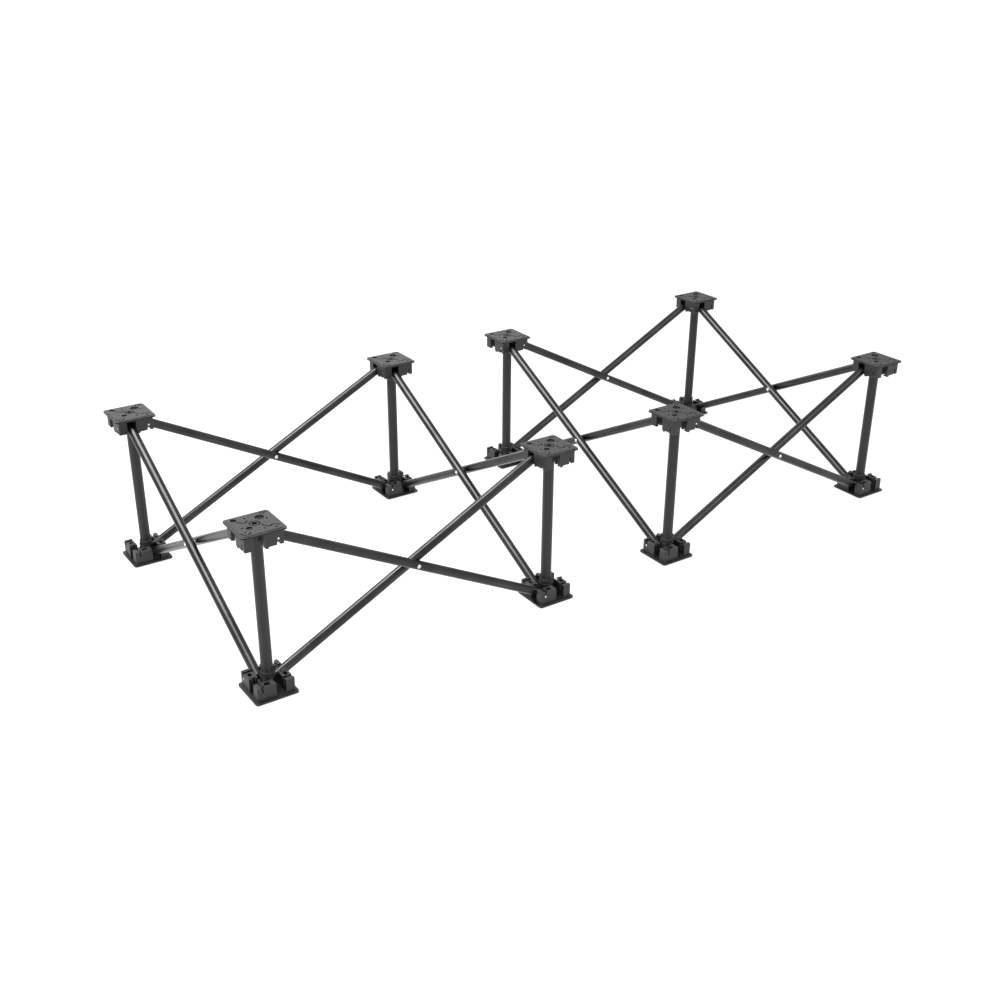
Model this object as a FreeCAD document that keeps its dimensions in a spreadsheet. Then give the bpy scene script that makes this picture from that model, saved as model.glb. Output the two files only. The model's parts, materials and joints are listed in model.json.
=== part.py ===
import FreeCAD, Part
import math
import os
import Sketcher

# Two folding riser frames that carry one stage deck. Each frame is a square of four
# legs. Every side is a pair of crossed tubes, and eight equal mouldings, called hubs,
# hold the tube ends: four on the floor and four, turned over, under the deck.
# Millimetres, +Z up, origin on the floor under the middle of the pair.

doc = FreeCAD.newDocument("stage_riser")
V = FreeCAD.Vector
os.makedirs("parts", exist_ok=True)

# ---------------------------------------------------------------- driving sizes
SIZES = [
    ("frame_pitch", 1132.0, "middle of one frame to middle of the next"),
    ("hub_spacing", 740.0, "hub to hub along each side"),
    ("total_height", 400.0, "floor to deck face"),
    ("plate_size", 100.5, "side of the square flange"),
    ("plate_thick", 5.6, "outer face to the flange's inner side"),
    ("plate_corner", 7.0, "corner radius of the flange"),
    ("face_size", 91.0, "side of the raised outer face"),
    ("face_rise", 1.6, "outer face above the flange"),
    ("face_corner", 5.0, "corner radius of the outer face"),
    ("face_bevel", 0.6, "bevel round the outer face"),
    ("body_size", 87.0, "outer width over the four blocks"),
    ("hub_height", 39.0, "outer face to block ends"),
    ("slot_width", 23.0, "slot that takes a tube end"),
    ("block_round", 2.5, "radius on the blocks' outer corners"),
    ("block_bevel", 1.0, "bevel on the blocks' ends"),
    ("boss_radius", 16.5, "round boss that holds the leg"),
    ("socket_radius", 13.1, "leg socket"),
    ("socket_floor", 8.0, "material left under the socket"),
    ("pin_reach", 31.0, "hub middle to pin axis"),
    ("pin_height", 25.0, "outer face to pin axis"),
    ("pin_radius", 2.5, "hinge pin"),
    ("pin_seat", 2.6, "round seat of the pin in the moulding"),
    ("pin_neck", 4.4, "width of the neck the pin snaps through"),
    ("pin_mouth", 8.0, "width of the lead-in above the neck"),
    ("mouth_depth", 6.0, "depth of the lead-in"),
    ("pin_blind", 10.0, "how far the pin enters the second block"),
    ("pin_inset", 0.4, "pin end below the block face"),
    ("ridge_radius", 4.5, "round ridge on each block end"),
    ("ridge_reach", 5.5, "ridge to the block's inner end"),
    ("ridge_rise", 1.0, "ridge axis below the block end"),
    ("ridge_length", 14.0, "length of the ridge"),
    ("core_length", 13.0, "moulded recess in each block"),
    ("core_width", 9.0, "width of the recess"),
    ("core_reach", 17.5, "recess middle to the block's inner end"),
    ("core_depth", 14.0, "depth of the recess"),
    ("leg_radius", 13.0, "leg tube, outer"),
    ("leg_bore", 11.0, "leg tube, inner"),
    ("ferrule_radius", 15.2, "collar on the leg's lower end"),
    ("ferrule_top", 50.0, "top of the collar above the floor"),
    ("ferrule_base", 39.4, "underside of the collar above the floor"),
    ("spigot_end", 12.0, "lower end of the spigot above the floor"),
    ("tube_radius", 11.0, "crossed tube, outer"),
    ("tube_bore", 9.5, "crossed tube, inner"),
    ("tube_side", 11.5, "tube axis to the middle line of its side"),
    ("tube_tail", 5.0, "tube end beyond the pin axis"),
    ("pivot_bore", 2.55, "hole for the pin in tube and plug"),
    ("plug_nose", 11.0, "plug nose beyond the pin axis"),
    ("plug_depth", 14.0, "plug inside the tube"),
    ("plug_radius", 9.45, "plug inside the tube, radius"),
    ("rivet_radius", 3.0, "rivet shank at the crossing"),
    ("rivet_bore", 3.06, "running hole for the rivet"),
    ("rivet_head", 4.6, "rivet head"),
    ("rivet_dome", 2.0, "height of the rivet head"),
    ("rivet_gap", 0.3, "play under the far rivet head"),
    ("screw_circle", 32.3, "radius of the circle of screw holes"),
    ("screw_turn", 15.5, "turn of the screw holes, degrees"),
    ("screw_radius", 2.75, "screw hole"),
    ("screw_depth", 9.0, "depth of the screw holes"),
    ("ring_outer", 12.2, "outer radius of the locating ring"),
    ("ring_inner", 8.9, "inner radius of the locating ring"),
    ("centre_hole", 6.4, "hole in the middle of the outer face, radius"),
    ("centre_depth", 6.0, "depth of that hole"),
    ("face_depth", 3.2, "depth of the recesses in the outer face"),
    ("groove_depth", 2.8, "depth of the locating grooves"),
    ("groove_half", 1.8, "half width of the locating grooves"),
]

sheet = doc.addObject("Spreadsheet::Sheet", "dims")
for row, (alias, value, note) in enumerate(SIZES, start=1):
    sheet.set("A%d" % row, alias)
    sheet.set("B%d" % row, "%g" % value)
    sheet.set("C%d" % row, note)
    sheet.setAlias("B%d" % row, alias)
doc.recompute()

size = {alias: value for alias, value, note in SIZES}

CORNERS = ["front_left", "front_right", "back_right", "back_left"]
SIDES = ["front", "right", "back", "left"]
CORNER_SIGNS = {
    "front_left": (-1, -1),
    "front_right": (1, -1),
    "back_right": (1, 1),
    "back_left": (-1, 1),
}

# Angle and length of a crossed tube, from pin to pin, in the standing frame.
reach = size["hub_spacing"] - 2 * size["pin_reach"]
rise = size["total_height"] - 2 * size["pin_height"]
tube_angle = math.degrees(math.atan2(rise, reach))
tube_length = math.hypot(reach, rise)


# ---------------------------------------------------------------- small helpers
def add_body(name):
    return doc.addObject("PartDesign::Body", name)


def plane_of(body, role):
    for feature in body.Origin.OriginFeatures:
        if feature.Role == role:
            return feature
    raise ValueError(role)


def add_sketch(body, role, lift=None):
    """A sketch on one of the body's planes, lifted off it by an expression."""
    sketch = body.newObject("Sketcher::SketchObject", body.Name + "_sketch")
    sketch.AttachmentSupport = [(plane_of(body, role), "")]
    sketch.MapMode = "FlatFace"
    if lift:
        sketch.setExpression(".AttachmentOffset.Base.z", lift)
    return sketch


def drive(sketch, index, expression):
    """Ties the constraint with that index to the driving sizes."""
    name = "c%d" % index
    sketch.renameConstraint(index, name)
    sketch.setExpression("Constraints." + name, expression)


def draw_circle(sketch, x, y, radius, expressions=(None, None, None)):
    """A circle whose radius, and whose place if given, follow the driving sizes."""
    circle = Part.Circle(V(x, y, 0), V(0, 0, 1), radius)
    g = sketch.addGeometry(circle, False)
    at_x, at_y, of_radius = expressions
    if of_radius:
        c = sketch.addConstraint(Sketcher.Constraint("Radius", g, radius))
        drive(sketch, c, of_radius)
    for sign, value, expression in (("X", x, at_x), ("Y", y, at_y)):
        if expression:
            c = sketch.addConstraint(
                Sketcher.Constraint("Distance" + sign, -1, 1, g, 3, value)
            )
            drive(sketch, c, expression)
    if at_x is None and at_y is None and abs(x) + abs(y) < 1e-9:
        sketch.addConstraint(Sketcher.Constraint("Coincident", g, 3, -1, 1))
    return g


def draw_box(sketch, box, expressions):
    """A rectangle; left, bottom, right and top each follow an expression."""
    x0, y0, x1, y1 = box
    corners = [V(x0, y0, 0), V(x1, y0, 0), V(x1, y1, 0), V(x0, y1, 0)]
    lines = []
    for i in range(4):
        line = Part.LineSegment(corners[i], corners[(i + 1) % 4])
        lines.append(sketch.addGeometry(line, False))
    for i in range(4):
        sketch.addConstraint(
            Sketcher.Constraint("Coincident", lines[i], 2, lines[(i + 1) % 4], 1)
        )
        way = "Horizontal" if i % 2 == 0 else "Vertical"
        sketch.addConstraint(Sketcher.Constraint(way, lines[i]))
    spots = [
        ("DistanceX", lines[0], 1, x0),
        ("DistanceY", lines[0], 1, y0),
        ("DistanceX", lines[1], 2, x1),
        ("DistanceY", lines[1], 2, y1),
    ]
    for (kind, line, end, value), expression in zip(spots, expressions):
        c = sketch.addConstraint(Sketcher.Constraint(kind, -1, 1, line, end, value))
        drive(sketch, c, expression)
    return lines


def draw_outline(sketch, points):
    """A closed outline of straight lines through points."""
    count = len(points)
    ids = []
    for i in range(count):
        a = V(points[i][0], points[i][1], 0)
        b = V(points[(i + 1) % count][0], points[(i + 1) % count][1], 0)
        ids.append(sketch.addGeometry(Part.LineSegment(a, b), False))
    for i in range(count):
        sketch.addConstraint(
            Sketcher.Constraint("Coincident", ids[i], 2, ids[(i + 1) % count], 1)
        )
    return ids


def draw_stroke(sketch, points, half_width):
    """The outline of a round-ended groove that follows a chain of points."""
    wire = Part.makePolygon([V(x, y, 0) for x, y in points])
    outline = wire.makeOffset2D(half_width, 0, False, False)
    for edge in outline.Edges:
        curve = edge.Curve
        if isinstance(curve, Part.Circle):
            first, last = edge.ParameterRange
            sketch.addGeometry(Part.ArcOfCircle(curve, first, last), False)
        else:
            ends = [vertex.Point for vertex in edge.Vertexes]
            sketch.addGeometry(Part.LineSegment(ends[0], ends[1]), False)


def add_pad(body, sketch, length, reverse=False):
    pad = body.newObject("PartDesign::Pad", body.Name + "_pad")
    pad.Profile = sketch
    pad.setExpression("Length", length)
    pad.Reversed = reverse
    sketch.Visibility = False
    body.Tip = pad
    return pad


def add_pocket(body, sketch, length, reverse=False):
    pocket = body.newObject("PartDesign::Pocket", body.Name + "_pocket")
    pocket.Profile = sketch
    pocket.setExpression("Length", length)
    pocket.Reversed = reverse
    sketch.Visibility = False
    body.Tip = pocket
    return pocket


def add_turned(body, sketch):
    """A full turn about the sketch's own horizontal axis."""
    turned = body.newObject("PartDesign::Revolution", body.Name + "_turned")
    turned.Profile = sketch
    turned.ReferenceAxis = (sketch, ["H_Axis"])
    turned.Angle = 360.0
    sketch.Visibility = False
    body.Tip = turned
    return turned


def add_quarters(body, feature):
    """Repeats a feature four times about the body's upright axis."""
    pattern = body.newObject("PartDesign::PolarPattern", body.Name + "_quarters")
    pattern.Originals = [feature]
    pattern.Axis = (plane_of(body, "Z_Axis"), [""])
    pattern.Angle = 360.0
    pattern.Occurrences = 4
    body.Tip = pattern
    return pattern


def dress(body, kind, base, test, **expressions):
    """A fillet or chamfer on the edges of base that pass the test."""
    doc.recompute()
    names = []
    for i, edge in enumerate(base.Shape.Edges, start=1):
        if test(edge):
            names.append("Edge%d" % i)
    feature = body.newObject("PartDesign::" + kind, body.Name + "_" + kind.lower())
    feature.Base = (base, names)
    for prop, expression in expressions.items():
        feature.setExpression(prop, expression)
    body.Tip = feature
    return feature


def place(thing, label, position, rotation=None):
    thing.Label = label
    thing.Placement = FreeCAD.Placement(position, rotation or FreeCAD.Rotation())
    return thing


def turn_z(angle):
    return FreeCAD.Rotation(V(0, 0, 1), angle)


# ---------------------------------------------------------------- the hub moulding
# Locating pattern in the outer face: x to the right and y towards the viewer's top
# when the face is looked at from outside, so y is turned over in the body's frame.
RECESSES = [(20.0, 21.0, 10.3), (-18.2, -15.5, 7.4), (-32.0, 34.0, 6.8), (31.5, -37.0, 3.2)]
CORNER_HOLE = (35.5, 35.0, 2.6)
TAIL_HOLE = (-33.0, -28.5, 2.6)
WAVES = [
    [(-29.5, 28.5), (-28.0, 22.5), (-24.0, 16.5), (-19.0, 12.0), (-15.0, 11.5),
     (-11.5, 14.0), (-8.5, 18.5)],
    [(10.8, -11.0), (11.8, -18.0), (15.5, -24.5), (20.5, -28.3), (24.5, -26.0),
     (28.0, -23.5), (32.5, -25.0), (37.0, -28.5), (41.0, -31.0)],
]


def upright(edge):
    a = edge.Vertexes[0].Point
    b = edge.Vertexes[-1].Point
    return abs(a.x - b.x) < 1e-6 and abs(a.y - b.y) < 1e-6 and abs(a.z - b.z) > 1e-6


def corner_of(side):
    """Tests whether an upright edge stands at a corner of the square of that side."""
    def test(edge):
        p = edge.Vertexes[0].Point
        return upright(edge) and all(abs(abs(v) - side / 2) < 1e-3 for v in (p.x, p.y))
    return test


def level(edge, z):
    return all(abs(vertex.Point.z - z) < 1e-6 for vertex in edge.Vertexes)


def arc_points(x, y, radius, start, stop, steps):
    points = []
    for i in range(steps + 1):
        angle = math.radians(start + (stop - start) * i / steps)
        points.append((x + radius * math.cos(angle), y + radius * math.sin(angle)))
    return points


def make_hub(name):
    """Square plate, four blocks in a pinwheel, leg boss and pin slots."""
    body = add_body(name)
    outer = size["body_size"] / 2
    inner = size["slot_width"]

    # Plate: the raised outer face, then the wider flange behind it.
    for side, corner, lift, length in (
        ("face_size", "face_corner", None, "dims.face_rise"),
        ("plate_size", "plate_corner", "dims.face_rise", "dims.plate_thick - dims.face_rise"),
    ):
        half = size[side] / 2
        sketch = add_sketch(body, "XY_Plane", lift)
        low = "-dims.%s / 2" % side
        high = "dims.%s / 2" % side
        draw_box(sketch, (-half, -half, half, half), (low, low, high, high))
        slab = add_pad(body, sketch, length)
        rounded = dress(body, "Fillet", slab, corner_of(size[side]), Radius="dims." + corner)
        if lift is None:
            dress(body, "Chamfer", rounded, lambda e: level(e, 0.0), Size="dims.face_bevel")

    # Blocks: one beside each slot, turned by quarters.
    sketch = add_sketch(body, "XY_Plane")
    low = "-dims.body_size / 2"
    draw_box(sketch, (-outer, -outer, 0, -inner), (low, low, "0", "-dims.slot_width"))
    block = add_pad(body, sketch, "dims.hub_height")
    blocks = add_quarters(body, block)

    def outer_rim(edge):
        if not level(edge, size["hub_height"]):
            return False
        middle = edge.CenterOfMass
        return max(abs(middle.x), abs(middle.y)) > outer - 0.8

    corners = corner_of(size["body_size"])
    rounds = dress(body, "Fillet", blocks, corners, Radius="dims.block_round")
    dress(body, "Chamfer", rounds, outer_rim, Size="dims.block_bevel")

    # A round ridge across the inner end of each block.
    sketch = add_sketch(body, "XZ_Plane", "dims.body_size / 2 - dims.ridge_length - 0.5")
    draw_circle(
        sketch, -size["ridge_reach"], size["hub_height"] - size["ridge_rise"], size["ridge_radius"],
        ("-dims.ridge_reach", "dims.hub_height - dims.ridge_rise", "dims.ridge_radius"),
    )
    ridge = add_pad(body, sketch, "dims.ridge_length")
    add_quarters(body, ridge)

    # Recess that keeps each block's wall thin.
    sketch = add_sketch(body, "XY_Plane", "dims.hub_height")
    middle = -(outer + inner) / 2
    left = -size["core_reach"] - size["core_length"] / 2
    right = left + size["core_length"]
    draw_box(
        sketch,
        (left, middle - size["core_width"] / 2, right, middle + size["core_width"] / 2),
        (
            "-dims.core_reach - dims.core_length / 2",
            "-(dims.body_size / 2 + dims.slot_width) / 2 - dims.core_width / 2",
            "-dims.core_reach + dims.core_length / 2",
            "-(dims.body_size / 2 + dims.slot_width) / 2 + dims.core_width / 2",
        ),
    )
    core = add_pocket(body, sketch, "dims.core_depth")
    add_quarters(body, core)

    # Boss and leg socket.
    sketch = add_sketch(body, "XY_Plane")
    draw_circle(sketch, 0, 0, size["boss_radius"], (None, None, "dims.boss_radius"))
    add_pad(body, sketch, "dims.hub_height")
    sketch = add_sketch(body, "XY_Plane", "dims.hub_height")
    draw_circle(sketch, 0, 0, size["socket_radius"], (None, None, "dims.socket_radius"))
    add_pocket(body, sketch, "dims.hub_height - dims.socket_floor")

    # Pin slots: round seat, neck and lead-in, each cut through one block and a
    # little way into the next.
    reach_x = size["pin_reach"]
    deck = size["hub_height"]
    lift = "-dims.pin_blind"
    length = "dims.body_size / 2 + dims.pin_blind + 1"
    sketch = add_sketch(body, "XZ_Plane", lift)
    draw_circle(
        sketch, -reach_x, size["pin_height"], size["pin_seat"],
        ("-dims.pin_reach", "dims.pin_height", "dims.pin_seat"),
    )
    seat = add_pocket(body, sketch, length, reverse=True)
    add_quarters(body, seat)
    for width, bottom, bottom_value in (
        ("dims.pin_neck", "dims.pin_height", size["pin_height"]),
        ("dims.pin_mouth", "dims.hub_height - dims.mouth_depth", deck - size["mouth_depth"]),
    ):
        half_width = size[width.split(".")[1]] / 2
        sketch = add_sketch(body, "XZ_Plane", lift)
        draw_box(
            sketch,
            (-reach_x - half_width, bottom_value, -reach_x + half_width, deck + 1),
            (
                "-dims.pin_reach - %s / 2" % width,
                bottom,
                "-dims.pin_reach + %s / 2" % width,
                "dims.hub_height + 1",
            ),
        )
        channel = add_pocket(body, sketch, length, reverse=True)
        add_quarters(body, channel)

    # Outer face: round recesses and rings, then the locating grooves.
    sketch = add_sketch(body, "XY_Plane")
    for x, y, radius in RECESSES + [CORNER_HOLE, TAIL_HOLE]:
        draw_circle(sketch, x, -y, radius)
    for ring in ("ring_outer", "ring_inner"):
        draw_circle(sketch, 0, 0, size[ring], (None, None, "dims." + ring))
    add_pocket(body, sketch, "dims.face_depth", reverse=True)
    sketch = add_sketch(body, "XY_Plane")
    draw_circle(sketch, 0, 0, size["centre_hole"], (None, None, "dims.centre_hole"))
    add_pocket(body, sketch, "dims.centre_depth", reverse=True)
    sketch = add_sketch(body, "XY_Plane")
    for wave in WAVES:
        draw_stroke(sketch, [(x, -y) for x, y in wave], size["groove_half"])
    hook = arc_points(TAIL_HOLE[0], TAIL_HOLE[1] - 2.5, 9.6, 172, 335, 8)
    draw_stroke(sketch, [(x, -y) for x, y in hook], size["groove_half"])
    hook = arc_points(CORNER_HOLE[0], CORNER_HOLE[1], 7.0, 10, 195, 8)
    draw_stroke(sketch, [(x, -y) for x, y in hook], 1.5)
    add_pocket(body, sketch, "dims.groove_depth", reverse=True)

    # Four screw holes in a slightly turned square.
    turn = math.radians(90 + size["screw_turn"])
    across = "dims.screw_circle * cos((90 + dims.screw_turn) * 1 deg)"
    along = "-dims.screw_circle * sin((90 + dims.screw_turn) * 1 deg)"
    sketch = add_sketch(body, "XY_Plane")
    draw_circle(
        sketch, size["screw_circle"] * math.cos(turn), -size["screw_circle"] * math.sin(turn),
        size["screw_radius"], (across, along, "dims.screw_radius"),
    )
    screw = add_pocket(body, sketch, "dims.screw_depth", reverse=True)
    add_quarters(body, screw)
    return body


# ---------------------------------------------------------------- the smaller parts
def make_pin(name):
    """Hinge pin along Y, lying in a hub's seat: it starts just inside the block face."""
    body = add_body(name)
    start = -size["body_size"] / 2 + size["pin_inset"]
    end = size["pin_blind"] - 0.5
    r = size["pin_radius"]
    sketch = add_sketch(body, "YZ_Plane")
    edge = 0.4
    points = [
        (start, 0), (start, r - edge), (start + edge, r),
        (end - edge, r), (end, r - edge), (end, 0),
    ]
    draw_outline(sketch, points)
    for g in range(6):
        for end_index, axis in ((1, "X"), (1, "Y")):
            value = points[g][0] if axis == "X" else points[g][1]
            if abs(value) < 1e-9:
                sketch.addConstraint(Sketcher.Constraint("PointOnObject", g, 1, -1))
                continue
            c = sketch.addConstraint(
                Sketcher.Constraint("Distance" + axis, -1, 1, g, end_index, value)
            )
            if axis == "Y":
                trim = "" if abs(value - r) < 1e-9 else " - %g" % edge
                drive(sketch, c, "dims.pin_radius" + trim)
            elif g < 3:
                drive(sketch, c, "-dims.body_size / 2 + dims.pin_inset + %g" % (value - start))
            else:
                drive(sketch, c, "dims.pin_blind - 0.5 - %g" % (end - value))
    add_turned(body, sketch)
    return body


def make_tube(name, radius, bore, start, length):
    """A round tube along Z."""
    body = add_body(name)
    sketch = add_sketch(body, "XY_Plane", start)
    draw_circle(sketch, 0, 0, size[radius], (None, None, "dims." + radius))
    draw_circle(sketch, 0, 0, size[bore], (None, None, "dims." + bore))
    add_pad(body, sketch, length)
    return body


TUBE_RISE = "(dims.total_height - 2 * dims.pin_height)"
TUBE_REACH = "(dims.hub_spacing - 2 * dims.pin_reach)"
TUBE_LENGTH = "sqrt(%s * %s + %s * %s)" % (TUBE_RISE, TUBE_RISE, TUBE_REACH, TUBE_REACH)


def make_crossed_tube(name, middle_bore):
    """Tube along Z from pin to pin, with cross holes at both pins and at the middle."""
    body = make_tube(
        name, "tube_radius", "tube_bore", "-dims.tube_tail", TUBE_LENGTH + " + 2 * dims.tube_tail"
    )
    sketch = add_sketch(body, "XZ_Plane", "-2 * dims.tube_radius")
    draw_circle(sketch, 0, 0, size["pivot_bore"], (None, None, "dims.pivot_bore"))
    draw_circle(
        sketch, 0, tube_length / 2, size[middle_bore],
        (None, TUBE_LENGTH + " / 2", "dims." + middle_bore),
    )
    draw_circle(
        sketch, 0, tube_length, size["pivot_bore"], (None, TUBE_LENGTH, "dims.pivot_bore")
    )
    add_pocket(body, sketch, "4 * dims.tube_radius", reverse=True)
    return body


def make_plug(name):
    """End plug along Z: a rounded nose below the pin and a plug inside the tube."""
    body = add_body(name)
    nose = -size["plug_nose"]
    tail = -size["tube_tail"]
    r = size["plug_radius"]
    rim = size["tube_radius"] - 0.4
    sketch = add_sketch(body, "XZ_Plane")
    points = [V(0, nose, 0), V(6.6, nose + 1.9, 0), V(rim, tail, 0)]
    sketch.addGeometry(Part.Arc(*points), False)
    rest = [(rim, tail), (r, tail), (r, size["plug_depth"]), (0, size["plug_depth"]), (0, nose)]
    for a, b in zip(rest, rest[1:]):
        sketch.addGeometry(Part.LineSegment(V(a[0], a[1], 0), V(b[0], b[1], 0)), False)
    for i in range(4):
        sketch.addConstraint(Sketcher.Constraint("Coincident", i, 2, i + 1, 1))
    sketch.addConstraint(Sketcher.Constraint("Coincident", 4, 2, 0, 1))
    sketch.addConstraint(Sketcher.Constraint("Horizontal", 1))
    sketch.addConstraint(Sketcher.Constraint("Vertical", 2))
    sketch.addConstraint(Sketcher.Constraint("Horizontal", 3))
    sketch.addConstraint(Sketcher.Constraint("PointOnObject", 3, 2, -2))
    c = sketch.addConstraint(Sketcher.Constraint("DistanceX", -1, 1, 2, 2, r))
    drive(sketch, c, "dims.plug_radius")
    c = sketch.addConstraint(Sketcher.Constraint("DistanceY", -1, 1, 2, 2, size["plug_depth"]))
    drive(sketch, c, "dims.plug_depth")
    c = sketch.addConstraint(Sketcher.Constraint("DistanceY", -1, 1, 1, 1, tail))
    drive(sketch, c, "-dims.tube_tail")
    turned = body.newObject("PartDesign::Revolution", body.Name + "_turned")
    turned.Profile = sketch
    turned.ReferenceAxis = (sketch, ["V_Axis"])
    turned.Angle = 360.0
    body.Tip = turned
    sketch = add_sketch(body, "XZ_Plane", "-2 * dims.tube_radius")
    draw_circle(sketch, 0, 0, size["pivot_bore"], (None, None, "dims.pivot_bore"))
    add_pocket(body, sketch, "4 * dims.tube_radius", reverse=True)
    return body


def make_rivet(name):
    """Rivet along Y through both crossed tubes, a low dome at each end."""
    body = add_body(name)
    near = size["tube_radius"]
    far = -2 * size["tube_side"] - size["tube_radius"] - size["rivet_gap"]
    dome = size["rivet_dome"]
    r = size["rivet_radius"]
    head = size["rivet_head"]
    sketch = add_sketch(body, "XY_Plane")
    points = [
        (far - dome, 0), (far - dome, head * 0.45), (far - dome * 0.75, head * 0.78),
        (far - dome * 0.3, head), (far, head), (far, r), (near, r), (near, head),
        (near + dome * 0.3, head), (near + dome * 0.75, head * 0.78),
        (near + dome, head * 0.45), (near + dome, 0),
    ]
    turned_points = [(y, x) for x, y in points]
    draw_outline(sketch, turned_points)
    turned = body.newObject("PartDesign::Revolution", body.Name + "_turned")
    turned.Profile = sketch
    turned.ReferenceAxis = (sketch, ["V_Axis"])
    turned.Angle = 360.0
    body.Tip = turned
    return body


def make_ferrule(name):
    """Moulded end of the leg: a collar round the tube and a spigot for the socket."""
    body = add_body(name)
    base = size["ferrule_base"]
    top = size["ferrule_top"]
    end = size["spigot_end"]
    outer = size["ferrule_radius"]
    tube = size["leg_radius"]
    spigot = tube - 0.05
    sketch = add_sketch(body, "XZ_Plane")
    draw_outline(sketch, [
        (0, end), (spigot - 2.0, end), (spigot, end + 3.0), (spigot, base), (outer, base),
        (outer, top - 1.5), (tube + 0.7, top), (tube, top), (tube, base + 2.0), (0, base + 2.0),
    ])
    turned = body.newObject("PartDesign::Revolution", body.Name + "_turned")
    turned.Profile = sketch
    turned.ReferenceAxis = (sketch, ["V_Axis"])
    turned.Angle = 360.0
    body.Tip = turned
    return body


# ---------------------------------------------------------------- one of each part
hub = make_hub("hub_moulding")
pin = make_pin("hinge_pin")
leg_tube = make_tube(
    "leg_tube", "leg_radius", "leg_bore", "dims.ferrule_base + 2",
    "dims.total_height - dims.socket_floor - dims.ferrule_base - 2",
)
ferrule = make_ferrule("leg_ferrule")
rise_tube = make_crossed_tube("rise_tube", "rivet_radius")
fall_tube = make_crossed_tube("fall_tube", "rivet_bore")
plug = make_plug("end_plug")
rivet = make_rivet("crossing_rivet")
doc.recompute()


# ---------------------------------------------------------------- assembly
def copy_of(source, name, position=None, rotation=None):
    """Another one of a part, in its own place. It follows the part it copies."""
    copy = doc.addObject("Part::Compound", name)
    copy.Links = [source]
    copy.Placement = FreeCAD.Placement(position or V(0, 0, 0), rotation or FreeCAD.Rotation())
    return copy


def group_of(sources, name):
    group = doc.addObject("Part::Compound", name)
    group.Links = sources
    return group


def make_pin_pair(name, quarters):
    """The two pins of one hub; quarters counts turns from the hub's left face."""
    pins = []
    for index, quarter in enumerate(quarters):
        spin = turn_z(90 * quarter)
        seat = spin.multVec(V(-size["pin_reach"], 0, size["pin_height"]))
        pins.append(copy_of(pin, "%s_%d" % (name, index + 1), seat, spin))
    return group_of(pins, name)


def make_tube_set(name, tube, with_rivet):
    """A crossed tube with a plug in each end, and the rivet if it carries it."""
    flip = FreeCAD.Rotation(V(0, 1, 0), 180)
    parts = [
        copy_of(tube, name + "_tube"),
        copy_of(plug, name + "_plug_1"),
        copy_of(plug, name + "_plug_2", V(0, 0, tube_length), flip),
    ]
    if with_rivet:
        parts.append(copy_of(rivet, name + "_rivet", V(0, 0, tube_length / 2)))
    return group_of(parts, name)


# Faces of a hub in quarter turns from its left one: left 0, front 1, right 2, back 3.
FOOT_FACES = {
    "front_left": (2, 3),
    "front_right": (0, 3),
    "back_right": (0, 1),
    "back_left": (1, 2),
}
# A hub turned over about X swaps its front and back faces.
TOP_FACES = {
    "front_left": (2, 1),
    "front_right": (0, 1),
    "back_right": (0, 3),
    "back_left": (3, 2),
}

height = size["total_height"]
turn_over = FreeCAD.Rotation(V(1, 0, 0), 180)
nodes = []
for number in (1, 2):
    prefix = "frame%d_" % number
    frame_x = (number - 1.5) * size["frame_pitch"]

    # Hubs, their pins and the legs, corner by corner.
    for corner in CORNERS:
        sx, sy = CORNER_SIGNS[corner]
        x = frame_x + sx * size["hub_spacing"] / 2
        y = sy * size["hub_spacing"] / 2
        foot = copy_of(hub, prefix + "foot_hub_" + corner)
        foot_pins = make_pin_pair(prefix + "foot_pins_" + corner, FOOT_FACES[corner])
        top = copy_of(hub, prefix + "top_hub_" + corner)
        top_pins = make_pin_pair(prefix + "top_pins_" + corner, TOP_FACES[corner])
        leg = group_of([leg_tube, ferrule], prefix + "leg_" + corner)
        place(foot, prefix + "foot_hub_" + corner, V(x, y, 0))
        place(foot_pins, prefix + "foot_pins_" + corner, V(x, y, 0))
        place(top, prefix + "top_hub_" + corner, V(x, y, height), turn_over)
        place(top_pins, prefix + "top_pins_" + corner, V(x, y, height), turn_over)
        place(leg, prefix + "leg_" + corner, V(x, y, 0))
        nodes += [foot, foot_pins, top, top_pins, leg]

    # The crossed pair of each side. One tube rises and the other falls along it.
    for quarter, side in enumerate(SIDES):
        spin = turn_z(90 * quarter)
        start = V(-size["hub_spacing"] / 2 + size["pin_reach"], -size["hub_spacing"] / 2, 0)
        low = start + V(0, size["tube_side"], size["pin_height"])
        high = start + V(0, -size["tube_side"], height - size["pin_height"])
        tilt_up = FreeCAD.Rotation(V(0, 1, 0), 90 - tube_angle)
        tilt_down = FreeCAD.Rotation(V(0, 1, 0), 90 + tube_angle)
        for kind, source, origin, tilt in (
            ("rise", rise_tube, low, tilt_up),
            ("fall", fall_tube, high, tilt_down),
        ):
            name = prefix + kind + "_tube_" + side
            tube = make_tube_set(name, source, kind == "rise")
            place(tube, name, spin.multVec(origin) + V(frame_x, 0, 0), spin * tilt)
            nodes.append(tube)

doc.recompute()

for thing in doc.Objects:
    if "Invalid" in thing.State or "Error" in thing.State:
        raise RuntimeError("not built: " + thing.Label)
for node in nodes:
    if node.Shape.isNull() or not node.Shape.isValid():
        raise RuntimeError("bad shape: " + node.Label)
    node.Shape.exportStep("parts/" + node.Label + ".step")
print(len(nodes), "parts written")
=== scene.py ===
# %% [markdown]
# # Folding frames under a stage deck
# Two equal frames stand in line and carry one stage deck. A frame has a leg at each
# corner and a pair of crossed tubes on each side. Square plastic mouldings, called
# hubs, join them: four on the floor, and the same four turned over at the top.
# The measured model comes first. It is the frame of reference for everything here,
# so each new piece takes its place and its size from it.

import json
import math

import bpy
from mathutils import Matrix, Vector

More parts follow.
